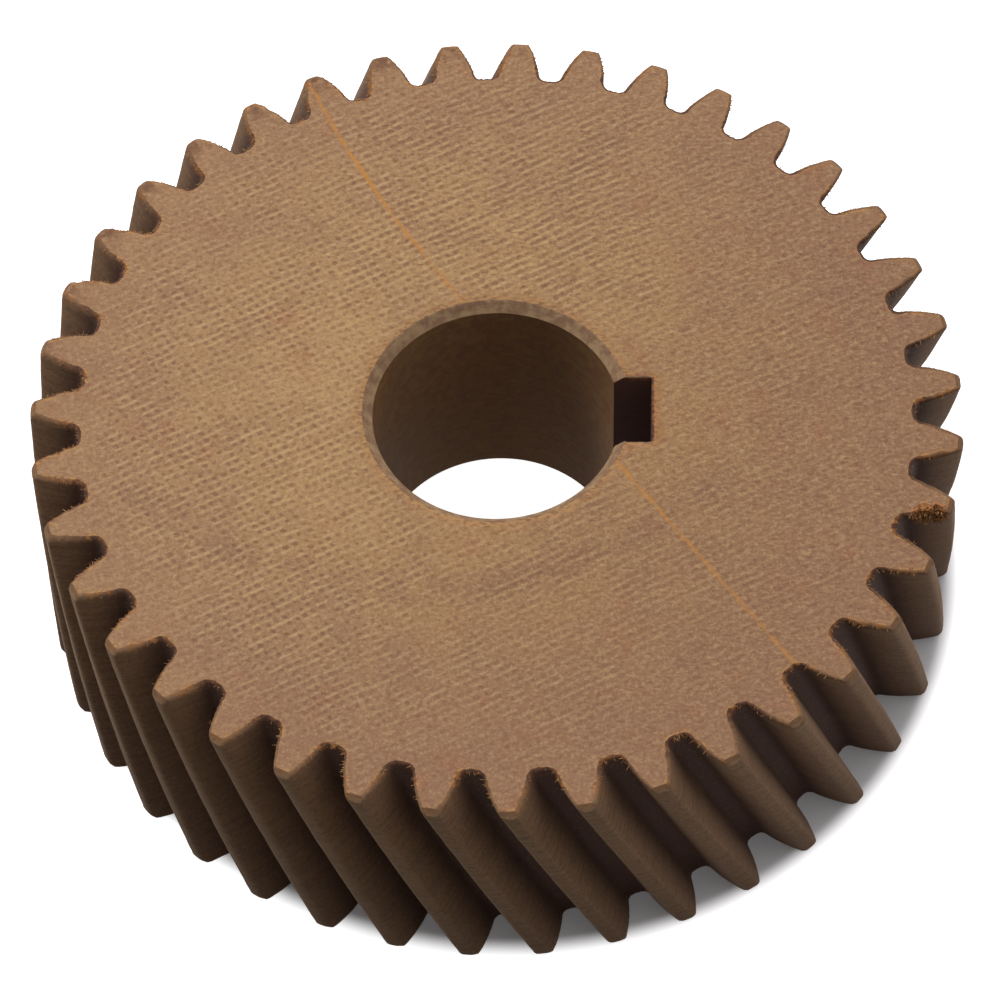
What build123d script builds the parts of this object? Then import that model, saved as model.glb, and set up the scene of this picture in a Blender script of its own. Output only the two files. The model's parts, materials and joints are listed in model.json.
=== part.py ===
"""Left-hand helical gear, one solid wheel of cotton-cloth phenolic laminate.

Axis along Z, origin on the bore axis half way across the face width.
+X points from the axis through the middle of the keyway. All lengths are in
millimetres and all angles in degrees unless a name says otherwise.
"""
from build123d import *
from math import acos, atan, cos, degrees, pi, radians, sin, sqrt, tan
import os

# ---- driving dimensions: gear ----
TOOTH_COUNT = 39
NORMAL_MODULE = 2.25
NORMAL_PRESSURE_ANGLE = 20.0
HELIX_ANGLE = 20.0          # left hand, at the pitch cylinder
FACE_WIDTH = 30.0
ADDENDUM_FACTOR = 1.0
DEDENDUM_FACTOR = 1.25
ROOT_FILLET_FACTOR = 0.38
TOOTH_THINNING = 0.10       # tooth thickness given up for running clearance
FIRST_TOOTH_ANGLE = 4.1     # at the top face, measured from the keyway
RIM_CHAMFER = 0.6           # 45 degrees, on the turned blank at the top face

# ---- driving dimensions: hub ----
BORE_DIAMETER = 26.0
BORE_CHAMFER = 1.0          # 45 degrees, at both faces
KEYWAY_WIDTH = 8.0
KEYWAY_DEPTH = 3.3          # from the bore wall's crown to the keyway's floor

# ---- driving dimensions: broken edge on one tooth, at the top face ----
CHIP_TOOTH = 2              # teeth clockwise from the first one
CHIP_LENGTH = 4.2           # along the flank
CHIP_BITE = 1.0             # into the tooth at the face
CHIP_DROP = 3.2             # down from the face, where the leaning flank ends it

# ---- gear geometry in the transverse plane ----
TRANSVERSE_MODULE = NORMAL_MODULE / cos(radians(HELIX_ANGLE))
TRANSVERSE_PRESSURE = atan(
    tan(radians(NORMAL_PRESSURE_ANGLE)) / cos(radians(HELIX_ANGLE))
)
PITCH_RADIUS = TOOTH_COUNT * TRANSVERSE_MODULE / 2
BASE_RADIUS = PITCH_RADIUS * cos(TRANSVERSE_PRESSURE)
TIP_RADIUS = PITCH_RADIUS + ADDENDUM_FACTOR * NORMAL_MODULE
ROOT_RADIUS = PITCH_RADIUS - DEDENDUM_FACTOR * NORMAL_MODULE
FILLET_RADIUS = ROOT_FILLET_FACTOR * NORMAL_MODULE
TOOTH_PITCH = 2 * pi / TOOTH_COUNT
TWIST = degrees(FACE_WIDTH * tan(radians(HELIX_ANGLE)) / PITCH_RADIUS)
TOP = FACE_WIDTH / 2
FLANK_POINTS = 3             # each flank is a spline through this many involute points
TWIST_SECTIONS = 5          # sections lofted over the face width, the teeth ruled between them


def involute(pressure):
    """Involute function of a pressure angle in radians."""
    return tan(pressure) - pressure


TOOTH_THICKNESS = pi * TRANSVERSE_MODULE / 2 - TOOTH_THINNING
HALF_ANGLE_AT_BASE = TOOTH_THICKNESS / (2 * PITCH_RADIUS) + involute(TRANSVERSE_PRESSURE)

# The root fillet rolls between the root circle and the flank, so its centre
# lies on the flank's own involute shifted outwards by the fillet radius.
FILLET_CENTRE_RADIUS = ROOT_RADIUS + FILLET_RADIUS
FILLET_HALF_ANGLE = (
    HALF_ANGLE_AT_BASE
    + FILLET_RADIUS / BASE_RADIUS
    - involute(acos(BASE_RADIUS / FILLET_CENTRE_RADIUS))
)
ROLL_AT_ROOT = (sqrt(FILLET_CENTRE_RADIUS**2 - BASE_RADIUS**2) - FILLET_RADIUS) / BASE_RADIUS
ROLL_AT_TIP = sqrt((TIP_RADIUS / BASE_RADIUS) ** 2 - 1)


def polar(radius, angle):
    """Point at a radius and an angle in radians."""
    return Vector(radius * cos(angle), radius * sin(angle))


def flank_point(roll, centre, side):
    """Point of an involute flank at a roll angle, on one side of a tooth's centre."""
    half_angle = HALF_ANGLE_AT_BASE - roll + atan(roll)
    return polar(BASE_RADIUS * sqrt(1 + roll**2), centre + side * half_angle)


def flank(centre, side):
    """Points along one flank, from the root fillet out to the tip."""
    steps = [i / (FLANK_POINTS - 1) for i in range(FLANK_POINTS)]
    rolls = [ROLL_AT_ROOT + (ROLL_AT_TIP - ROLL_AT_ROOT) * step for step in steps]
    return [flank_point(roll, centre, side) for roll in rolls]


def root_fillet(centre, side):
    """Start, middle and end of the arc from the root circle to the flank."""
    middle_of_arc = polar(FILLET_CENTRE_RADIUS, centre + side * FILLET_HALF_ANGLE)
    start = polar(ROOT_RADIUS, centre + side * FILLET_HALF_ANGLE)
    end = flank_point(ROLL_AT_ROOT, centre, side)
    towards_chord = ((start + end) / 2 - middle_of_arc).normalized()
    return start, middle_of_arc + towards_chord * FILLET_RADIUS, end


def tooth_edges(centre):
    """Edges of one tooth and of the root arc that follows it."""
    rising = flank(centre, -1)
    falling = list(reversed(flank(centre, +1)))
    root_start = polar(ROOT_RADIUS, centre + FILLET_HALF_ANGLE)
    root_middle = polar(ROOT_RADIUS, centre + TOOTH_PITCH / 2)
    root_end = polar(ROOT_RADIUS, centre + TOOTH_PITCH - FILLET_HALF_ANGLE)
    return [
        Edge.make_three_point_arc(*root_fillet(centre, -1)),
        Edge.make_spline(rising),
        Edge.make_three_point_arc(rising[-1], polar(TIP_RADIUS, centre), falling[0]),
        Edge.make_spline(falling),
        Edge.make_three_point_arc(*reversed(root_fillet(centre, +1))),
        Edge.make_three_point_arc(root_start, root_middle, root_end),
    ]


def transverse_section():
    """The whole toothed outline, as a face whose first tooth is centred on +X."""
    edges = []
    for tooth in range(TOOTH_COUNT):
        edges += tooth_edges(tooth * TOOTH_PITCH)
    return Face(Wire(edges))


def toothed_wheel():
    """Sections turned evenly down the face width and lofted into left-hand teeth."""
    section = transverse_section().outer_wire()
    turned = []
    for step in range(TWIST_SECTIONS):
        share = step / (TWIST_SECTIONS - 1)
        angle = FIRST_TOOTH_ANGLE + TWIST * share
        height = TOP - FACE_WIDTH * share
        turned.append(section.rotate(Axis.Z, angle).moved(Location((0, 0, height))))
    return Solid.make_loft(turned, ruled=True)


def turned_blank():
    """Disc with its upper rim chamfered, which trims the teeth's upper ends."""
    disc = Solid.make_cylinder(TIP_RADIUS + 1, FACE_WIDTH, Plane((0, 0, -TOP)))
    upper_rim = disc.edges().filter_by(GeomType.CIRCLE).sort_by(Axis.Z)[-1]
    return disc.chamfer(RIM_CHAMFER + 1, None, [upper_rim])


def bore_tool():
    """Bore with its chamfers, as one turned body that is cut away."""
    bore_radius = BORE_DIAMETER / 2
    mouth_radius = bore_radius + BORE_CHAMFER
    overrun = 1.0
    bore = Solid.make_cylinder(
        bore_radius, FACE_WIDTH + 2 * overrun, Plane((0, 0, -TOP - overrun))
    )
    cone_height = BORE_CHAMFER + overrun
    upper = Solid.make_cone(
        bore_radius, mouth_radius + overrun, cone_height, Plane((0, 0, TOP - BORE_CHAMFER))
    )
    return bore + upper + upper.mirror(Plane.XY)


def keyway_tool():
    """Block that cuts the keyway right through, from inside the bore to its floor."""
    floor_distance = BORE_DIAMETER / 2 + KEYWAY_DEPTH
    block = Box(floor_distance, KEYWAY_WIDTH, FACE_WIDTH + 2)
    return block.moved(Location((floor_distance / 2, 0, 0)))


def chip_tool():
    """Splinter broken out of one tooth's top edge, on its clockwise flank."""
    tooth_angle = radians(FIRST_TOOTH_ANGLE) - CHIP_TOOTH * TOOTH_PITCH
    tip_corner = flank_point(ROLL_AT_TIP, tooth_angle, -1)
    root = flank_point(ROLL_AT_ROOT, tooth_angle, -1)
    along = (root - tip_corner).normalized()
    inward = (polar(TIP_RADIUS, tooth_angle) - tip_corner).normalized()
    start = tip_corner + along * 0.4
    outline = Wire.make_polygon(
        [
            start - inward * 0.6,
            start + along * (CHIP_LENGTH * 0.22) + inward * CHIP_BITE,
            start + along * (CHIP_LENGTH * 0.60) + inward * (CHIP_BITE * 0.7),
            start + along * CHIP_LENGTH - inward * 0.2,
            start + along * (CHIP_LENGTH * 0.5) - inward * 2.0,
        ]
    )
    splinter = Solid.extrude(Face(outline), Vector(0, 0, CHIP_DROP + 1))
    return splinter.moved(Location((0, 0, TOP - CHIP_DROP)))


def helical_gear():
    """The finished wheel."""
    wheel = toothed_wheel() & turned_blank()
    wheel = wheel - bore_tool()
    wheel = wheel - keyway_tool()
    return wheel - chip_tool()


os.makedirs("parts", exist_ok=True)
gear = helical_gear()
gear.label = "helical_gear"
export_step(gear, "parts/helical_gear.step")
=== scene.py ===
"""Looks of a worn left-hand helical gear of cloth laminate, built round its CAD part.

Lengths are in millimetres and angles in radians unless a comment says otherwise.
Points in the plane of the faces are complex numbers, with X real and Y imaginary.
A depth is measured down from the top face.
"""
import json
from math import acos, asin, atan, cos, pi, radians, sin, sqrt, tan

import bpy
import numpy as np
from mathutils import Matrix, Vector, geometry


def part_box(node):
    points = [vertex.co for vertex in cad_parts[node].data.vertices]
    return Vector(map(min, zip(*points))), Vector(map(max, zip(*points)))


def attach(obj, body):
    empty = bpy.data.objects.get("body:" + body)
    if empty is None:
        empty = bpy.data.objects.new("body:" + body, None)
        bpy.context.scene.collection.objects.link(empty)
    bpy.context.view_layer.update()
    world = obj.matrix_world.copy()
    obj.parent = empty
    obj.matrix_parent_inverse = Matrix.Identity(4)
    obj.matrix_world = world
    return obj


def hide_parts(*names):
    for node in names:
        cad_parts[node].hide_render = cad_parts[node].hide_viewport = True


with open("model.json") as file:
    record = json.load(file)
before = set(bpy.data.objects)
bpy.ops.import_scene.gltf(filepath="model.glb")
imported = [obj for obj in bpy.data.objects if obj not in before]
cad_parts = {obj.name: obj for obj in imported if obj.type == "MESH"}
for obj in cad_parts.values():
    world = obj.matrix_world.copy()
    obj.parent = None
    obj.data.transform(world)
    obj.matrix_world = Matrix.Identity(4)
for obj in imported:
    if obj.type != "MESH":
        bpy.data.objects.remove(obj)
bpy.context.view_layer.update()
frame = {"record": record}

scene = bpy.context.scene
MM = 0.001

# ---------------------------------------------------------------- dimensions of the solid
low, high = (np.array(corner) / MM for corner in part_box("helical_gear"))
mounts = {mount["name"]: mount for mount in frame["record"]["mounts"]}
TOP, BOTTOM = high[2], low[2]
WIDTH = TOP - BOTTOM
TIP = (high[1] - low[1]) / 2
BORE = mounts["bore"]["dims"]["r_mm"]
BORE_CHAMFER = (WIDTH - mounts["bore"]["dims"]["length_mm"]) / 2
KEY_HALF = 4.0              # half the keyway's width
KEY_FLOOR = 16.3            # from the axis
RIM_CHAMFER = 0.6
TEETH = 39
PITCH = 2 * pi / TEETH
HELIX = radians(20)
NORMAL_PRESSURE = radians(20)
MODULE = 2.25               # normal
PRESSURE = atan(tan(NORMAL_PRESSURE) / cos(HELIX))
PITCH_CIRCLE = TEETH * MODULE / cos(HELIX) / 2
BASE = PITCH_CIRCLE * cos(PRESSURE)
ROOT = PITCH_CIRCLE - 1.25 * MODULE
FILLET = 0.38 * MODULE
THINNING = 0.10             # tooth thickness given up for running clearance
TWIST = WIDTH * tan(HELIX) / PITCH_CIRCLE
FIRST_TOOTH = radians(4.1)
CHIPPED_TOOTH = TEETH - 2
THICKNESS = pi * MODULE / cos(HELIX) / 2 - THINNING
HALF_AT_BASE = THICKNESS / (2 * PITCH_CIRCLE) + tan(PRESSURE) - PRESSURE
FILLET_CENTRE = ROOT + FILLET
FILLET_PRESSURE = acos(BASE / FILLET_CENTRE)
FILLET_HALF = HALF_AT_BASE + FILLET / BASE - (tan(FILLET_PRESSURE) - FILLET_PRESSURE)
ROLL_ROOT = (sqrt(FILLET_CENTRE**2 - BASE**2) - FILLET) / BASE
ROLL_TIP = sqrt((TIP / BASE) ** 2 - 1)

# ---------------------------------------------------------------- fineness of the mesh
ROOT_POINTS, FILLET_POINTS, FLANK_POINTS, LAND_STEPS = 4, 5, 25, 6
TIP_CORNER = ROOT_POINTS + FILLET_POINTS + FLANK_POINTS - 1     # its place in a tooth's outline
FLANK_STEP = 0.22           # between a flank's points, about
ARC_POINTS, SIDE_POINTS, FLOOR_POINTS = 200, 10, 26             # bore and keyway
HOLE_STEP = 0.35            # between their points, about
FINE_DEPTHS = [0.0, 0.03, 0.08, 0.15, 0.24, 0.36, 0.5, 0.6, 0.8, 1.1]
COARSE_DEPTHS = [1.6, 2.4, 3.4] + list(np.arange(5, 27.5, 2.0))
COARSE_DEPTHS += [28.2, 29.0, 29.4, 29.62, 29.8, 29.92, WIDTH]
BORE_DEPTHS = [0, 0.05, 0.12, 0.22, 0.4, 0.7, 1.0, 1.6]
BORE_DEPTHS += [4, 8, 12, 16, 20, 24, 28, 29, 29.5, WIDTH]
TOP_GRID, BOTTOM_GRID = 1.3, 2.5
BESIDE_RIM = 0.45           # from the toothed rim to the row of points beside it
SHARP_ANGLE = radians(42)

# ---------------------------------------------------------------- wear
SKIN = 0.02                 # the worn surface stays this far inside the solid's
UPPER_ROUND, LOWER_ROUND, KEY_ROUND = 0.30, 0.35, 0.22
BATTERED_AT, BATTERED_SPREAD = radians(130), radians(30)
THREAD_SPACING = 0.68       # along the cut edge
FRAY_DEPTH = 0.30
LOWER_FRAY = 0.4            # share of the upper edge's
CHIP_ALONG = [0.3, 1.2, 2.0, 3.0, 4.6]      # from the tip corner, down the flank
CHIP_BITE = [0.0, 1.05, 0.8, 0.95, 0.0]
CHIP_SLOPE = 0.36           # bite lost for each mm of depth
CHIP_DEPTH = 3.4


# ---------------------------------------------------------------- outlines
def flank(roll):
    """Points of a tooth's clockwise flank, at roll angles of the involute."""
    return BASE * np.sqrt(1 + roll**2) * np.exp(-1j * (HALF_AT_BASE - roll + np.arctan(roll)))


def tooth():
    """One tooth's outline from root middle to root middle, counterclockwise."""
    root_angles = np.linspace(-PITCH / 2, -FILLET_HALF, ROOT_POINTS, endpoint=False)
    root = ROOT * np.exp(1j * root_angles)
    middle = FILLET_CENTRE * np.exp(-1j * FILLET_HALF)
    start, end = ROOT * np.exp(-1j * FILLET_HALF) - middle, flank(ROLL_ROOT) - middle
    fillet = middle + start * (end / start) ** np.linspace(0, 1, FILLET_POINTS, endpoint=False)
    side = flank(np.linspace(ROLL_ROOT, ROLL_TIP, FLANK_POINTS))
    land = TIP * np.exp(1j * np.linspace(np.angle(side[-1]), 0, LAND_STEPS, endpoint=False)[1:])
    half = np.concatenate([root, fillet, side, land])
    return np.concatenate([half, [TIP], np.conj(half[1:][::-1])])


def smooth(values, passes):
    """Rolling mean round a closed loop."""
    for _ in range(passes):
        values = (np.roll(values, 1) + 2 * values + np.roll(values, -1)) / 4
    return values


def loop_noise(distance, length, step, seed):
    """Smooth random values from -1 to 1 along a closed loop."""
    knots = max(4, int(round(length / step)))
    values = np.random.default_rng(seed).uniform(-1, 1, knots)
    place = distance / length * knots
    index = np.floor(place).astype(int)
    blend = place - index
    blend = blend * blend * (3 - 2 * blend)
    return values[index % knots] * (1 - blend) + values[(index + 1) % knots] * blend


one_tooth = tooth()
outline = np.concatenate([one_tooth * np.exp(1j * PITCH * i) for i in range(TEETH)])
tooth_of = np.repeat(np.arange(TEETH), len(one_tooth))
in_tooth = np.tile(np.arange(len(one_tooth)), TEETH)
steps = np.abs(np.roll(outline, -1) - outline)
along = np.concatenate([[0], np.cumsum(steps)[:-1]])


def edge_noise(step, seed, shift=0.0):
    """Noise along the toothed outline."""
    return loop_noise(along + shift, steps.sum(), step, seed)


# Tooth corners are worn round, each tooth by its own amount and some far more.
above_pitch = np.abs(outline) > PITCH_CIRCLE
wear = np.random.default_rng(39).uniform(0.35, 1.0, TEETH)[tooth_of]
rounded = np.where(above_pitch, outline + (smooth(outline, 9) - outline) * wear, outline)
from_battered = np.angle(rounded * np.exp(1j * FIRST_TOOTH)) - BATTERED_AT
battered = np.exp(-((from_battered / BATTERED_SPREAD) ** 2))
rounded = np.where(above_pitch, rounded + (smooth(outline, 50) - rounded) * battered, rounded)
inward = smooth(1j * (np.roll(rounded, -1) - np.roll(rounded, 1)), 14)
inward = inward / np.abs(inward)

# Fraying of the cloth where the teeth were cut through the top layer: a little
# everywhere, a notch at each thread, fine hairs, and places where cloth is torn out.
ragged = 0.5 + 0.5 * edge_noise(3.5, 1)
thread = along / THREAD_SPACING + 0.35 * edge_noise(1.4, 2)
notch = np.abs((thread % 1.0) - 0.5) * 2
hairs = np.abs(edge_noise(0.5, 3))
torn_out = np.clip(edge_noise(1.7, 7) - 0.45, 0, 1)
fray = 0.03 + 0.12 * notch**1.5 * ragged + 0.08 * hairs + 0.35 * torn_out
spotted = 0.25 + 0.75 * np.clip(edge_noise(1.3, 8) * 1.2 + 0.3, 0, 1)

# A splinter is gone from one flank.
from_tip = np.where(tooth_of == CHIPPED_TOOTH, (TIP_CORNER - in_tooth) * FLANK_STEP, -1.0)
chip = np.interp(from_tip, CHIP_ALONG, CHIP_BITE, left=0, right=0)


def turned(depth):
    """Rotation of the teeth at a depth."""
    return np.exp(1j * (FIRST_TOOTH + TWIST * depth / WIDTH))


def rounded_off(radius, from_face):
    """How far a rounded edge stands back, at a distance from its face."""
    return radius - sqrt(radius**2 - max(radius - from_face, 0) ** 2)


def rim_ring(depth, stride=1, further=0.0):
    """Outline of the teeth at a depth, as points with how torn they are."""
    upper = depth < WIDTH / 2
    from_face = min(depth, WIDTH - depth)
    inset = np.full(len(rounded), rounded_off(UPPER_ROUND if upper else LOWER_ROUND, from_face))
    inset += fray * np.exp(-((from_face / FRAY_DEPTH) ** 2)) * (1.0 if upper else LOWER_FRAY)
    inset += 0.03 * edge_noise(1.1, 4, 7 * depth) * min(from_face, 1)
    inset += SKIN + further
    cut = np.clip(chip - CHIP_SLOPE * depth, 0, None)
    inset += cut * (1 + 0.25 * edge_noise(0.5, 5, 3 * depth))
    points = rounded + inward * inset
    limit = TIP - SKIN - max(RIM_CHAMFER - from_face, 0)
    radius = np.abs(points)
    points = np.where(radius > limit, points * limit / radius, points) * turned(depth)
    torn = np.clip(chip * 3, 0, 1) * np.clip(1.4 - CHIP_SLOPE * depth, 0, 1) * (depth < CHIP_DEPTH)
    return points[::stride], torn[::stride]


def hole_ring(depth):
    """Bore and keyway outline at a depth, counterclockwise, with the keyway's edges chewed."""
    from_face = min(depth, WIDTH - depth)
    radius = BORE + max(BORE_CHAMFER - from_face, 0)
    corner = asin(KEY_HALF / radius)
    arc = radius * np.exp(1j * np.linspace(corner, 2 * pi - corner, ARC_POINTS))
    out = np.linspace(radius * cos(corner), KEY_FLOOR, SIDE_POINTS + 2)[1:-1]
    floor = KEY_FLOOR + 1j * np.linspace(-KEY_HALF, KEY_HALF, FLOOR_POINTS)
    loop = np.concatenate([arc, out - 1j * KEY_HALF, floor, out[::-1] + 1j * KEY_HALF])
    away = np.concatenate([
        arc / radius,
        np.full(SIDE_POINTS, -1j),
        np.full(FLOOR_POINTS, 1.0),
        np.full(SIDE_POINTS, 1j),
    ])
    keyed = smooth(np.where(np.arange(len(loop)) < ARC_POINTS, 0.0, 1.0), 4)
    place = np.arange(len(loop)) * HOLE_STEP
    chewed = 0.10 * np.abs(loop_noise(place, len(loop) * HOLE_STEP, 0.7, 6)) * np.exp(-from_face / 0.4)
    amount = (rounded_off(KEY_ROUND, from_face) + chewed) * (0.25 + 0.75 * keyed)
    return loop + away * amount


# ---------------------------------------------------------------- mesh
FACE, CUT, BORED = 0, 1, 2      # material slots


class Builder:
    """Collects vertices with their wear values, and faces with their material."""

    def __init__(self):
        self.points, self.edge, self.torn, self.faces, self.slots = [], [], [], [], []
        self.count = 0

    def ring(self, flat, z, edge, torn=0.0):
        """Adds points at one height and returns their indices."""
        n = len(flat)
        self.points.append(np.column_stack([flat.real, flat.imag, np.broadcast_to(z, n)]))
        self.edge.append(np.broadcast_to(edge, n))
        self.torn.append(np.broadcast_to(torn, n))
        self.count += n
        return np.arange(self.count - n, self.count)

    def add(self, faces, slot):
        """Adds faces of one material."""
        self.faces += faces.tolist()
        self.slots += [slot] * len(faces)

    def quads(self, upper, lower, slot):
        """Joins two loops of the same count."""
        faces = np.column_stack([upper, lower, np.roll(lower, -1), np.roll(upper, -1)])
        self.add(faces, slot)

    def halve(self, fine, coarse, slot):
        """Joins a loop to one with half its points."""
        following = np.roll(coarse, -1)
        a, b, c = fine[0::2], fine[1::2], np.roll(fine, -1)[1::2]
        self.add(np.concatenate([
            np.column_stack([a, coarse, b]),
            np.column_stack([b, coarse, following]),
            np.column_stack([b, following, c]),
        ]), slot)


def inside(points, loop):
    """Which points lie inside a closed loop."""
    result = np.zeros(len(points), bool)
    x, y = points.real, points.imag
    for a, b in zip(loop, np.roll(loop, -1)):
        if a.imag == b.imag:
            continue
        crosses = (a.imag > y) != (b.imag > y)
        at = (b.real - a.real) * (y - a.imag) / (b.imag - a.imag) + a.real
        result ^= crosses & (x < at)
    return result


def filling(rim_loop, hole_loop, near_rim, spacing):
    """Points inside a face: a row beside the rim and a grid, both clear of the borders."""
    span = np.arange(-TIP, TIP, spacing)
    gx, gy = np.meshgrid(span, span * 0.87)
    gx = gx + (np.arange(len(span)) % 2)[:, None] * spacing / 2
    grid = (gx + 1j * gy).ravel()
    grid = grid[(np.abs(grid) < TIP) & (np.abs(grid) > BORE)]
    grid = grid[inside(grid, rim_loop) & ~inside(grid, hole_loop)]
    near_rim = near_rim[inside(near_rim, rim_loop)]
    border = np.concatenate([rim_loop, hole_loop])[None, ::2]
    clear = []
    for points, distance in ((near_rim, 0.3), (grid, spacing * 0.45)):
        clear.append(points[np.min(np.abs(points[:, None] - border), axis=1) > distance])
    return np.concatenate(clear)


def cap(builder, rim, hole, near_rim, z, spacing, upwards):
    """Fills a face between the toothed rim and the bore."""
    placed = np.concatenate(builder.points)
    rim_loop = placed[rim, 0] + 1j * placed[rim, 1]
    hole_loop = placed[hole, 0] + 1j * placed[hole, 1]
    grid = filling(rim_loop, hole_loop, near_rim, spacing)
    order = np.concatenate([rim, hole, builder.ring(grid, z, 0.0)])
    flat = [Vector((p.real, p.imag)) for p in np.concatenate([rim_loop, hole_loop, grid])]
    n, m = len(rim), len(hole)
    edges = [(i, (i + 1) % n) for i in range(n)] + [(n + i, n + (i + 1) % m) for i in range(m)]
    verts, _, faces, origins, _, _ = geometry.delaunay_2d_cdt(flat, edges, [], 0, 1e-7)
    places = np.array([v.x + 1j * v.y for v in verts])
    # The triangulation makes a point of its own where two border edges cross.
    source = np.array([made_from[0] if made_from else -1 for made_from in origins])
    crossings = np.where(source < 0)[0]
    if len(crossings):
        source[crossings] = len(flat) + np.arange(len(crossings))
        order = np.concatenate([order, builder.ring(places[crossings], z, 1.0)])
    triangles = np.array([f for f in faces if len(f) == 3])
    centres = places[triangles].mean(axis=1)
    kept = inside(centres, rim_loop) & ~inside(centres, hole_loop)
    triangles = order[source[triangles[kept]]]
    builder.add(triangles if upwards else triangles[:, ::-1], FACE)


def new_object(name, points, faces):
    """Adds a mesh object whose points are given in millimetres."""
    mesh = bpy.data.meshes.new(name)
    mesh.from_pydata((np.array(points) * MM).tolist(), [], faces)
    added = bpy.data.objects.new(name, mesh)
    scene.collection.objects.link(added)
    return added


body = Builder()
rings = []
for depth in FINE_DEPTHS:
    points, torn = rim_ring(depth)
    rings.append(body.ring(points, TOP - depth, spotted * np.exp(-((depth / 0.4) ** 2)), torn))
for upper, lower in zip(rings, rings[1:]):
    body.quads(upper, lower, CUT)
top_rim, last = rings[0], rings[-1]
for depth in COARSE_DEPTHS:
    points, torn = rim_ring(depth, 2)
    ring = body.ring(points, TOP - depth, 0.3 * np.exp(-(WIDTH - depth) / 0.3), torn)
    if len(ring) < len(last):
        body.halve(last, ring, CUT)
    else:
        body.quads(last, ring, CUT)
    last = ring
bore_rings = []
for depth in BORE_DEPTHS:
    bore_rings.append(body.ring(hole_ring(depth), TOP - depth, 0.8 * np.exp(-depth / 0.3)))
for upper, lower in zip(bore_rings, bore_rings[1:]):
    body.quads(lower, upper, BORED)
cap(body, top_rim, bore_rings[0], rim_ring(0, 2, BESIDE_RIM)[0], TOP, TOP_GRID, True)
cap(body, last, bore_rings[-1], rim_ring(WIDTH, 4, BESIDE_RIM)[0], BOTTOM, BOTTOM_GRID, False)

gear = new_object("gear_body", np.concatenate(body.points), body.faces)
gear.data.polygons.foreach_set("material_index", body.slots)
gear.data.shade_smooth()
gear.data.set_sharp_from_angle(angle=SHARP_ANGLE)
for name, values in (("edge", body.edge), ("torn", body.torn)):
    layer = gear.data.attributes.new(name, "FLOAT", "POINT")
    layer.data.foreach_set("value", np.concatenate(values).astype(np.float32))
gear.data.validate()

# ---------------------------------------------------------------- loose threads
WEAVE_ROWS = (-0.501, 0.950)    # waves of the weave, in cycles per mm along X and Y
WEAVE_COLUMNS = (0.800, 0.600)
THREAD_DIRECTIONS = [27.8, -53.1, 207.8, 126.9]     # degrees, along those waves' crests
THREAD_SECTIONS = ((0.0, 1.0), (0.45, 0.85), (0.8, 0.6))    # shares of length and thickness
SHORTEST, ROOTED = 0.22, 0.05   # length outside and inside the edge
EDGE_THREADS, EDGE_LONGEST, EDGE_THICKNESS = 2600, 0.80, 0.050
CHIP_THREADS = ((0.0, 26), (0.5, 26), (1.0, 22), (1.6, 18), (2.3, 12))      # depth and count
CHIP_LONGEST, CHIP_THICKNESS = 0.60, 0.11


def loose_threads(draw, depth, weights, count, longest, thickness):
    """Fibres that stand out of the cut edge at a depth, as points and faces."""
    edge_points = rim_ring(depth)[0]
    outwards = -inward * turned(depth)
    points, faces = [], []
    for pick in draw.choice(len(edge_points), count, p=weights / weights.sum()):
        out = outwards[pick]
        along_cloth = np.exp(1j * radians(draw.choice(THREAD_DIRECTIONS)))
        lean = along_cloth * (1 if (along_cloth * np.conj(out)).real > 0 else -1)
        heading = out * 0.6 + lean * 0.7 + out * 1j * draw.uniform(-0.5, 0.5)
        heading /= abs(heading)
        length = SHORTEST + (longest - SHORTEST) * draw.uniform() ** 1.5
        length += ROOTED
        start = edge_points[pick] - out * ROOTED
        drop = draw.uniform(0.0, 0.22)
        fall = draw.uniform(0.0, 0.25)
        bend = draw.uniform(-0.5, 0.5)
        level = TOP - depth - thickness - drop
        first = len(points)
        for share, width in THREAD_SECTIONS:
            middle = start + heading * np.exp(1j * bend * share) * length * share
            z = level - fall * share**2
            for corner in range(3):
                spoke = 2 * pi * corner / 3
                point = middle + heading * 1j * cos(spoke) * thickness * width
                points.append((point.real, point.imag, z + sin(spoke) * thickness * width))
        end = start + heading * np.exp(1j * bend) * length
        points.append((end.real, end.imag, level - fall))
        for section in (first, first + 3):
            for corner in range(3):
                near, far = section + corner, section + (corner + 1) % 3
                faces.append((near, far, far + 3, near + 3))
        faces += [(first + 6 + corner, first + 6 + (corner + 1) % 3, first + 9) for corner in range(3)]
        faces.append((first + 2, first + 1, first))
    return points, faces


draw = np.random.default_rng(77)
fewer_at_tips = np.where(np.abs(rounded) < TIP - 1.0, 1.0, 0.12)
at_edge = fewer_at_tips * (0.25 + spotted) * (np.abs(rounded) < TIP - 0.45)
bundles = [loose_threads(draw, 0.0, at_edge, EDGE_THREADS, EDGE_LONGEST, EDGE_THICKNESS)]
for depth, count in CHIP_THREADS:
    at_chip = np.clip(chip - CHIP_SLOPE * depth, 0, 1) + 1e-9
    bundles.append(loose_threads(draw, depth, at_chip, count, CHIP_LONGEST, CHIP_THICKNESS))
thread_points, thread_faces = [], []
for points, faces in bundles:
    thread_faces += [tuple(i + len(thread_points) for i in face) for face in faces]
    thread_points += points
threads = new_object("frayed_threads", thread_points, thread_faces)
threads.data.shade_smooth()


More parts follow.
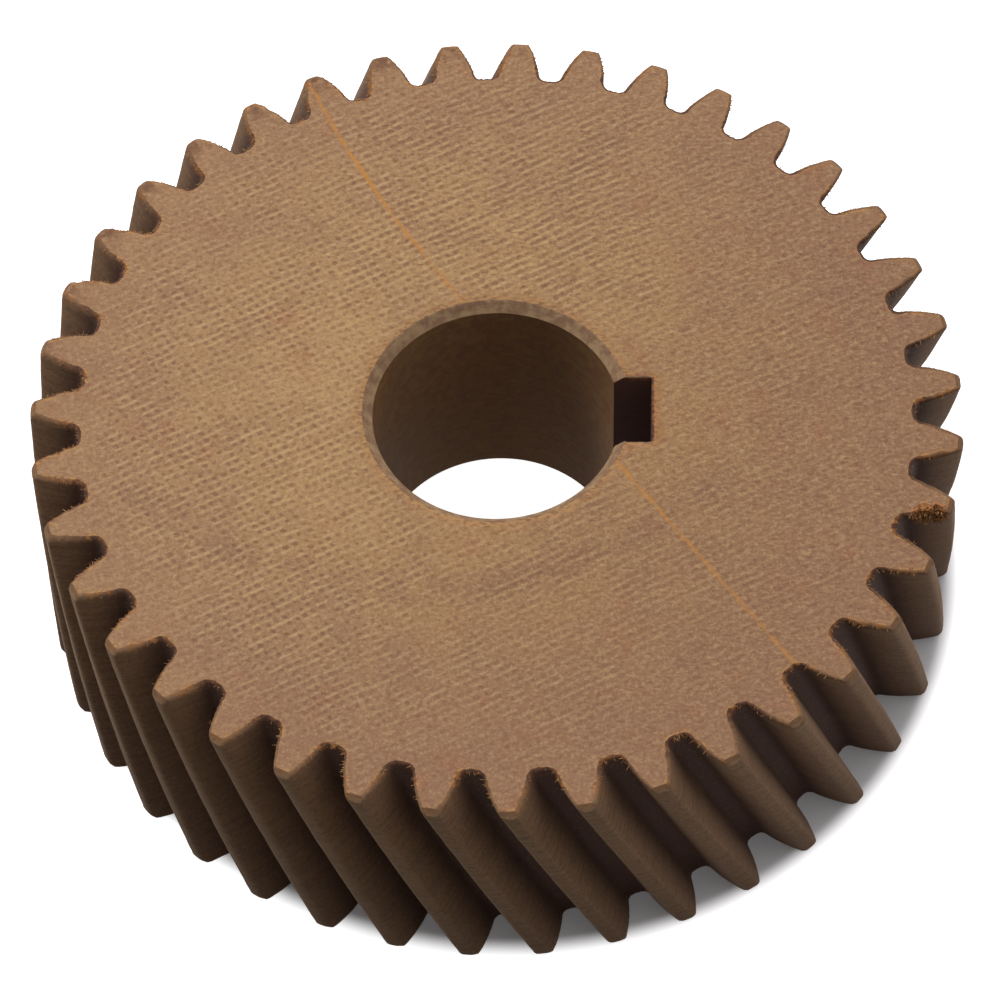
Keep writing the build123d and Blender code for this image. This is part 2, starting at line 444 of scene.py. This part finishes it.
# ---------------------------------------------------------------- materials
class Nodes:
    """Short names for building a node material, with places and distances in mm."""

    def __init__(self, name):
        self.material = bpy.data.materials.new(name)
        self.material.use_nodes = True
        self.tree = self.material.node_tree
        self.shader = self.tree.nodes["Principled BSDF"]

    def put(self, socket, value):
        """Links a socket or sets a constant."""
        if isinstance(value, bpy.types.NodeSocket):
            self.tree.links.new(value, socket)
        else:
            socket.default_value = value

    def math(self, operation, a, b=0.0, c=0.0):
        node = self.tree.nodes.new("ShaderNodeMath")
        node.operation = operation
        for socket, value in zip(node.inputs, (a, b, c)):
            self.put(socket, value)
        return node.outputs[0]

    def ramp(self, value, low, high, to_low=0.0, to_high=1.0):
        """Maps low..high smoothly to to_low..to_high."""
        node = self.tree.nodes.new("ShaderNodeMapRange")
        node.interpolation_type = "SMOOTHSTEP"
        for socket, number in zip(node.inputs, (value, low, high, to_low, to_high)):
            self.put(socket, number)
        return node.outputs[0]

    def mix(self, factor, a, b):
        """Mixes two colours."""
        node = self.tree.nodes.new("ShaderNodeMix")
        node.data_type = "RGBA"
        self.put(node.inputs["Factor"], factor)
        colours = [s for s in node.inputs if s.type == "RGBA"]
        self.put(colours[0], a)
        self.put(colours[1], b)
        return [s for s in node.outputs if s.type == "RGBA"][0]

    def noise(self, vector, scale, detail=2.0, rough=0.5, distortion=0.0):
        node = self.tree.nodes.new("ShaderNodeTexNoise")
        self.put(node.inputs["Vector"], vector)
        self.put(node.inputs["Scale"], scale)
        self.put(node.inputs["Detail"], detail)
        self.put(node.inputs["Roughness"], rough)
        self.put(node.inputs["Distortion"], distortion)
        return node.outputs[0]

    def place(self, scale=(1, 1, 1), turn=0.0):
        """Object coordinates, turned and scaled."""
        source = self.tree.nodes.new("ShaderNodeTexCoord")
        node = self.tree.nodes.new("ShaderNodeMapping")
        self.put(node.inputs["Vector"], source.outputs["Object"])
        self.put(node.inputs["Rotation"], (0, 0, turn))
        self.put(node.inputs["Scale"], tuple(s / MM for s in scale))
        return node.outputs[0]

    def split(self, vector):
        """X, Y and Z of a place."""
        node = self.tree.nodes.new("ShaderNodeSeparateXYZ")
        self.put(node.inputs[0], vector)
        return node.outputs

    def dot(self, vector, x, y):
        """Distance along a direction in the plane of the faces."""
        node = self.tree.nodes.new("ShaderNodeVectorMath")
        node.operation = "DOT_PRODUCT"
        self.put(node.inputs[0], vector)
        self.put(node.inputs[1], (x, y, 0))
        return node.outputs["Value"]

    def wave(self, vector, per_mm, phase):
        """Cosine of a plane wave, from its cycles per mm along X and Y."""
        place = self.dot(vector, 2 * pi * per_mm[0], 2 * pi * per_mm[1])
        return self.math("COSINE", self.math("ADD", place, phase))

    def product(self, *values):
        result = values[0]
        for value in values[1:]:
            result = self.math("MULTIPLY", result, value)
        return result

    def total(self, *values):
        result = values[0]
        for value in values[1:]:
            result = self.math("ADD", result, value)
        return result

    def radius(self, vector, x=0.0, y=0.0):
        """Distance from a point in the plane of the faces."""
        px, py, _ = self.split(vector)
        dx, dy = self.math("SUBTRACT", px, x), self.math("SUBTRACT", py, y)
        return self.math("SQRT", self.total(self.product(dx, dx), self.product(dy, dy)))

    def attribute(self, name):
        node = self.tree.nodes.new("ShaderNodeAttribute")
        node.attribute_name = name
        return node.outputs["Fac"]

    def bump(self, height, distance, strength):
        node = self.tree.nodes.new("ShaderNodeBump")
        self.put(node.inputs["Height"], height)
        self.put(node.inputs["Distance"], distance * MM)
        self.put(node.inputs["Strength"], strength)
        return node.outputs[0]

    def finish(self, colour, rough, normal):
        """Sets the shader of a dry, hardly shiny surface."""
        self.put(self.shader.inputs["Base Color"], colour)
        self.put(self.shader.inputs["Roughness"], rough)
        self.put(self.shader.inputs["Normal"], normal)
        self.put(self.shader.inputs["Specular IOR Level"], 0.25)
        return self.material


def srgb(red, green, blue):
    """Colour from display values of 0 to 255."""
    def linear(value):
        value = value / 255
        return value / 12.92 if value < 0.04045 else ((value + 0.055) / 1.055) ** 2.4
    return (linear(red), linear(green), linear(blue), 1.0)


def woven_face():
    """The flat faces: resin-filled weave, yellower inwards, darker and redder at the rim."""
    n = Nodes("cloth_face")
    flat = n.place()
    radius = n.radius(flat)
    away = n.ramp(n.dot(flat, 0.82, -0.57), -26, 26)
    outer = n.ramp(radius, 18, 45)
    # cloth: rows of threads, broken into dots where the other threads cross them
    drift = n.product(n.math("SUBTRACT", n.noise(flat, 0.11, 2), 0.5), 7.0)
    rows = n.wave(flat, WEAVE_ROWS, drift)
    columns = n.wave(flat, WEAVE_COLUMNS, n.product(drift, -0.8))
    uneven = n.ramp(n.noise(flat, 0.85, 2), 0.32, 0.62, 0.25, 1.0)
    crossed = n.ramp(n.dot(flat, -0.9, -0.3), -20, 25, 0.35, 0.95)
    between = n.math("MULTIPLY_ADD", columns, -0.5, 0.5)
    gaps = n.math("ADD", n.math("SUBTRACT", 1.0, crossed), n.product(crossed, between))
    pits = n.product(n.math("MULTIPLY_ADD", rows, -0.5, 0.5), gaps, uneven)
    ridges = n.product(n.math("MULTIPLY_ADD", rows, 0.5, 0.5), uneven)
    clean = n.product(
        n.ramp(n.dot(flat, -0.75, 0.35), -28, 12, 0.40, 1.0),
        n.ramp(radius, 38, 46, 1.0, 0.2),
        n.ramp(n.noise(flat, 0.07, 2), 0.36, 0.6, 0.55, 1.0),
    )
    # speckled cloth, where the weave is matted
    turned_threads = n.place(scale=(1.25, 2.7, 1.0), turn=radians(-27.8))
    speckle = n.noise(turned_threads, 1.0, 3, 0.6, 0.4)
    matted = n.ramp(n.dot(flat, 0.8, 0.5), -24, 24, 0.45, 1.0)
    grain = n.noise(flat, 2.9, 3, 0.7)
    # the resin's own colour, with broad stains
    soft = n.noise(flat, 0.15, 3, 0.6)
    blotch = n.noise(flat, 0.24, 3, 0.55)
    base = n.mix(n.product(away, 0.60), srgb(184, 146, 101), srgb(150, 112, 80))
    base = n.mix(n.product(outer, 0.50), base, srgb(144, 106, 88))
    base = n.mix(n.ramp(soft, 0.38, 0.68, 0.0, 0.30), base, srgb(142, 105, 84))
    base = n.mix(n.ramp(blotch, 0.56, 0.72, 0.0, 0.35), base, srgb(160, 106, 76))
    arc = n.math("ABSOLUTE", n.math("SUBTRACT", n.radius(flat, -8.0, 20.0), 42.0))
    smudge = n.product(
        n.ramp(arc, 0.4, 2.6, 1.0, 0.0),
        n.ramp(n.dot(flat, 0, 1), -12, -6, 1.0, 0.0),
        n.ramp(blotch, 0.40, 0.55),
    )
    base = n.mix(n.product(smudge, 0.35), base, srgb(128, 90, 74))
    # the cloth over it
    base = n.mix(n.product(n.ramp(pits, 0.15, 0.65), clean, 0.50), base, srgb(112, 74, 58))
    base = n.mix(n.product(n.ramp(ridges, 0.45, 0.95), clean, 0.34), base, srgb(214, 182, 134))
    base = n.mix(n.product(n.ramp(speckle, 0.52, 0.68), matted, 0.50), base, srgb(120, 78, 64))
    base = n.mix(n.product(n.ramp(speckle, 0.46, 0.32), matted, 0.34), base, srgb(204, 168, 124))
    base = n.mix(n.ramp(grain, 0.50, 0.66, 0.0, 0.34), base, srgb(122, 84, 66))
    base = n.mix(n.ramp(grain, 0.48, 0.34, 0.0, 0.26), base, srgb(208, 176, 132))
    # scuffed tips on one side, and the chewed edges of the keyway
    scuffed = n.product(
        n.ramp(radius, TIP - 3.4, TIP - 1.0),
        n.ramp(n.dot(flat, -0.6, 0.8), 28, 44),
        n.ramp(uneven, 0.3, 0.9),
    )
    base = n.mix(n.product(scuffed, 0.7), base, srgb(104, 66, 52))
    fx, fy, _ = n.split(flat)
    by_floor = n.product(
        n.ramp(fx, KEY_FLOOR + 1.3, KEY_FLOOR + 0.2),
        n.ramp(n.math("ABSOLUTE", fy), KEY_HALF + 0.6, KEY_HALF),
        n.ramp(fx, 15.0, 16.0),
    )
    by_side = n.product(
        n.ramp(fx, 12.0, 13.5),
        n.ramp(fx, 17.2, 16.6),
        n.ramp(fy, 4.9, 4.3),
        n.ramp(fy, 3.0, 3.9),
    )
    by_keyway = n.math("MAXIMUM", by_floor, by_side)
    chewed = n.product(by_keyway, n.ramp(speckle, 0.36, 0.56, 0.25, 0.85))
    base = n.mix(chewed, base, srgb(146, 96, 60))
    # a seam of stained thread that runs over the whole face, bowed in its first half
    s, t, _ = n.split(n.place(turn=radians(56)))
    from_bow = n.math("ABSOLUTE", n.math("ADD", s, 20))
    bowed = n.math("MULTIPLY_ADD", n.math("POWER", from_bow, 2.0), 0.003, 4.6)
    straight = n.math("MULTIPLY_ADD", n.math("SUBTRACT", s, 13.6), 0.038, 6.8)
    second = n.math("GREATER_THAN", s, 0.0)
    first = n.math("SUBTRACT", 1.0, second)
    path = n.total(n.product(bowed, first), n.product(straight, second))
    wobble = n.math("MULTIPLY_ADD", n.noise(flat, 0.9, 2), 0.6, -0.3)
    off = n.math("ABSOLUTE", n.math("SUBTRACT", t, n.math("ADD", path, wobble)))
    worn_off = n.ramp(n.noise(flat, 0.7, 2), 0.34, 0.58, 0.35, 0.9)
    fades = n.math("MAXIMUM", n.ramp(s, -30, -14, 1.0, 0.55), n.product(second, 0.75))
    seam = n.product(n.ramp(off, 0.08, 0.32, 1.0, 0.0), worn_off, fades)
    base = n.mix(seam, base, srgb(194, 132, 64))
    # torn cloth along the cut edges
    edge = n.attribute("edge")
    spots = n.ramp(speckle, 0.40, 0.56)
    base = n.mix(n.product(edge, n.math("SUBTRACT", 1.0, spots), 0.65), base, srgb(112, 62, 46))
    base = n.mix(n.product(edge, spots, 0.9), base, srgb(190, 142, 90))
    torn = n.attribute("torn")
    splintered = n.mix(spots, srgb(120, 70, 42), srgb(196, 132, 76))
    base = n.mix(n.product(torn, 0.85), base, splintered)
    relief = n.math("MULTIPLY_ADD", torn, 3.0, -0.7)
    height = n.total(n.product(pits, clean, -0.9), n.product(speckle, relief), grain)
    return n.finish(base, n.ramp(grain, 0.3, 0.7, 0.72, 0.9), n.bump(height, 0.10, 0.8))


def cut_side():
    """Machined teeth: edges of the cloth layers, with painted shade and dirt between the teeth."""
    n = Nodes("cut_side")
    flat = n.place()
    radius = n.radius(flat)
    layers = n.noise(n.place(scale=(0.10, 0.10, 3.0)), 1.0, 2, 0.5, 0.2)
    fibres = n.noise(n.place(scale=(2.2, 2.2, 3.4)), 1.0, 3, 0.6)
    # painted shade and dirt: the flanks darken from the tips towards the roots, between the teeth,
    # along a patchy edge
    shade_and_dirt_noise = n.noise(flat, 0.35, 3, 0.55)
    shade_and_dirt_radius = n.math("ADD", radius, n.math("MULTIPLY_ADD", shade_and_dirt_noise, 2.0, -1.0))
    towards_tip = n.ramp(shade_and_dirt_radius, ROOT - 0.3, TIP - 1.0)
    base = n.mix(towards_tip, srgb(74, 50, 40), srgb(140, 108, 80))
    base = n.mix(n.ramp(radius, TIP - 0.35, TIP - 0.1, 0.0, 0.6), base, srgb(158, 128, 98))
    _, _, z = n.split(flat)
    # painted shade: the sides of the teeth grow darker from 5 mm under the top face down to the bottom
    # face
    base = n.mix(n.ramp(z, BOTTOM, TOP - 5, 0.40, 0.0), base, srgb(70, 47, 38))
    base = n.mix(n.ramp(layers, 0.42, 0.60, 0.0, 0.22), base, srgb(66, 44, 36))
    base = n.mix(n.ramp(fibres, 0.48, 0.68, 0.0, 0.35), base, srgb(76, 46, 38))
    base = n.mix(n.ramp(fibres, 0.44, 0.28, 0.0, 0.25), base, srgb(164, 132, 98))
    edge = n.attribute("edge")
    spots = n.ramp(n.noise(flat, 1.6, 3, 0.6), 0.40, 0.60)
    base = n.mix(n.product(edge, spots, 0.85), base, srgb(158, 104, 58))
    torn = n.attribute("torn")
    splintered = n.mix(spots, srgb(116, 68, 42), srgb(200, 136, 78))
    base = n.mix(n.product(torn, 0.9), base, splintered)
    height = n.total(n.product(layers, 0.4), n.product(fibres, 0.7), n.product(torn, fibres, 2.5))
    return n.finish(base, 0.8, n.bump(height, 0.08, 0.8))


def bore_wall():
    """Bore, its chamfer and the keyway: darker and smoother."""
    n = Nodes("bore_wall")
    flat = n.place()
    x, y, z = n.split(flat)
    inside_key = n.ramp(n.math("ABSOLUTE", y), KEY_HALF + 0.06, KEY_HALF + 0.03)
    fibres = n.noise(n.place(scale=(1.6, 1.6, 3.2)), 1.0, 3, 0.6)
    streaks = n.noise(n.place(scale=(0.5, 0.5, 2.4)), 1.0, 3, 0.6, 0.3)
    mottle = n.noise(flat, 0.9, 4, 0.6)
    base = n.mix(n.ramp(mottle, 0.4, 0.62), srgb(142, 108, 64), srgb(130, 88, 54))
    base = n.mix(n.ramp(streaks, 0.40, 0.62, 0.0, 0.30), base, srgb(88, 62, 42))
    base = n.mix(n.ramp(fibres, 0.5, 0.7, 0.0, 0.3), base, srgb(140, 96, 66))
    chamfer = n.mix(n.ramp(mottle, 0.36, 0.62), srgb(172, 141, 106), srgb(142, 110, 84))
    on_chamfer = n.ramp(z, TOP - 1.10, TOP - 0.95)
    base = n.mix(on_chamfer, base, chamfer)
    keyed = n.product(n.ramp(x, 12.2, 12.4), inside_key)
    base = n.mix(keyed, base, srgb(86, 56, 46))
    spots = n.ramp(n.noise(flat, 1.6, 3, 0.6), 0.40, 0.60)
    chewed = n.product(keyed, n.ramp(z, TOP - 0.9, TOP - 0.1), spots)
    base = n.mix(chewed, base, srgb(156, 100, 60))
    base = n.mix(n.product(n.attribute("edge"), spots, 0.6), base, srgb(104, 70, 54))
    height = n.total(n.product(streaks, 0.5), n.product(fibres, 0.6), n.product(mottle, 0.4))
    return n.finish(base, 0.7, n.bump(height, 0.07, 0.8))


def loose_fibre():
    """Torn cotton, from straw to dark brown."""
    n = Nodes("loose_fibre")
    flat = n.place()
    shade = n.noise(flat, 1.4, 3, 0.6)
    base = n.mix(n.ramp(shade, 0.36, 0.60), srgb(122, 76, 48), srgb(204, 156, 102))
    base = n.mix(n.ramp(n.noise(flat, 0.6, 2), 0.5, 0.7, 0.0, 0.6), base, srgb(168, 98, 52))
    return n.finish(base, 0.9, n.bump(n.noise(flat, 8.0, 2), 0.02, 0.5))


for material in (woven_face(), cut_side(), bore_wall()):
    gear.data.materials.append(material)
threads.data.materials.append(loose_fibre())
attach(threads, "root")
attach(gear, "root")
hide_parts("helical_gear")

# ---------------------------------------------------------------- floor
FLOOR_HALF = 3000.0
FLOOR_GAP = 0.02                            # under the gear's lower face
SHADOW_AT = (1.4, 0.4)                      # middle of the dark patch under the gear
SHADOW_EDGE = (TIP - 2.2, TIP + 0.6)
SHADOW_GLOW = 0.06                          # share of the paper's glow left in it
HOLE_EDGE = (14.2, 15.0)                    # the paper glows again under the bore
PAPER = (0.80, 0.78, 0.82, 1)
PAPER_BOUNCE = (0.14, 0.13, 0.12, 1)        # what the paper gives back to the gear


def seen_rays(tree):
    """1 on the rays that show the surroundings: camera, glossy and transmission."""
    ray = tree.nodes.new("ShaderNodeLightPath")
    seen = ray.outputs["Is Camera Ray"]
    for name in ("Is Glossy Ray", "Is Transmission Ray"):
        either = tree.nodes.new("ShaderNodeMath")
        either.operation = "MAXIMUM"
        tree.links.new(seen, either.inputs[0])
        tree.links.new(ray.outputs[name], either.inputs[1])
        seen = either.outputs[0]
    return seen


def white_paper():
    """Paper that glows white where it is looked at and lights the gear only a little."""
    n = Nodes("white_paper")
    spot = n.place()
    around = n.ramp(n.radius(spot, *SHADOW_AT), *SHADOW_EDGE, SHADOW_GLOW, 1.0)
    through_bore = n.ramp(n.radius(spot), *HOLE_EDGE, 1.0, 0.0)
    n.put(n.shader.inputs["Base Color"], PAPER)
    n.put(n.shader.inputs["Roughness"], 0.9)
    n.put(n.shader.inputs["Emission Color"], (1, 1, 1, 1))
    n.put(n.shader.inputs["Emission Strength"], n.math("MAXIMUM", around, through_bore))
    matt = n.tree.nodes.new("ShaderNodeBsdfDiffuse")
    matt.inputs["Color"].default_value = PAPER_BOUNCE
    shown = n.tree.nodes.new("ShaderNodeMixShader")
    n.tree.links.new(seen_rays(n.tree), shown.inputs[0])
    n.tree.links.new(matt.outputs[0], shown.inputs[1])
    n.tree.links.new(n.shader.outputs[0], shown.inputs[2])
    n.tree.links.new(shown.outputs[0], n.tree.nodes["Material Output"].inputs["Surface"])
    return n.material


corners = [(-FLOOR_HALF, -FLOOR_HALF), (FLOOR_HALF, -FLOOR_HALF)]
corners += [(FLOOR_HALF, FLOOR_HALF), (-FLOOR_HALF, FLOOR_HALF)]
floor = new_object("floor", [(x, y, BOTTOM - FLOOR_GAP) for x, y in corners], [(0, 1, 2, 3)])
floor.data.materials.append(white_paper())

# ---------------------------------------------------------------- sky
SKY_BRIGHTEST = (0.60, 0.45, 0.66)          # direction
SKY_DARK, SKY_BRIGHT = 0.05, 0.78
SKY_COLOUR = (1.0, 0.98, 0.96, 1)

world = bpy.data.worlds.new("studio")
scene.world = world
world.use_nodes = True
tree = world.node_tree
tree.nodes.clear()
white = tree.nodes.new("ShaderNodeBackground")
white.inputs["Color"].default_value = (1, 1, 1, 1)
white.inputs["Strength"].default_value = 1.0
sky = tree.nodes.new("ShaderNodeBackground")
sky.inputs["Color"].default_value = SKY_COLOUR
direction = tree.nodes.new("ShaderNodeTexCoord")
facing = tree.nodes.new("ShaderNodeVectorMath")
facing.operation = "DOT_PRODUCT"
facing.inputs[1].default_value = SKY_BRIGHTEST
tree.links.new(direction.outputs["Generated"], facing.inputs[0])
brightness = tree.nodes.new("ShaderNodeMapRange")
brightness.interpolation_type = "SMOOTHSTEP"
for socket, number in zip(brightness.inputs[1:], (0.0, 1.0, SKY_DARK, SKY_BRIGHT)):
    socket.default_value = number
tree.links.new(facing.outputs["Value"], brightness.inputs[0])
tree.links.new(brightness.outputs[0], sky.inputs["Strength"])
chosen = tree.nodes.new("ShaderNodeMixShader")
tree.links.new(seen_rays(tree), chosen.inputs[0])
tree.links.new(sky.outputs[0], chosen.inputs[1])
tree.links.new(white.outputs[0], chosen.inputs[2])
output = tree.nodes.new("ShaderNodeOutputWorld")
tree.links.new(chosen.outputs[0], output.inputs["Surface"])

# ---------------------------------------------------------------- light and camera, metres
LIGHT_AT = (-0.42, 0.26, 0.75)
LIGHT_ACROSS = 0.30
LIGHT_WATTS = 4.9
CAMERA_AT = (0.008826, -0.297527, 0.455919)
CAMERA_TURN = (32.990, 0.8145, 0.4129)      # degrees
LENS = 182.845                              # mm, on a sensor 36 mm wide

light_data = bpy.data.lights.new("key_light", "AREA")
light_data.shape = "DISK"
light_data.size = LIGHT_ACROSS
light_data.energy = LIGHT_WATTS
light = bpy.data.objects.new("key_light", light_data)
scene.collection.objects.link(light)
light.location = LIGHT_AT
light.rotation_euler = (-Vector(LIGHT_AT)).to_track_quat("-Z", "Y").to_euler()

camera_data = bpy.data.cameras.new("camera")
camera_data.sensor_width = 36
camera_data.lens = LENS
camera = bpy.data.objects.new("camera", camera_data)
scene.collection.objects.link(camera)
camera.location = CAMERA_AT
camera.rotation_euler = [radians(angle) for angle in CAMERA_TURN]
scene.camera = camera
scene.view_settings.view_transform = "Standard"
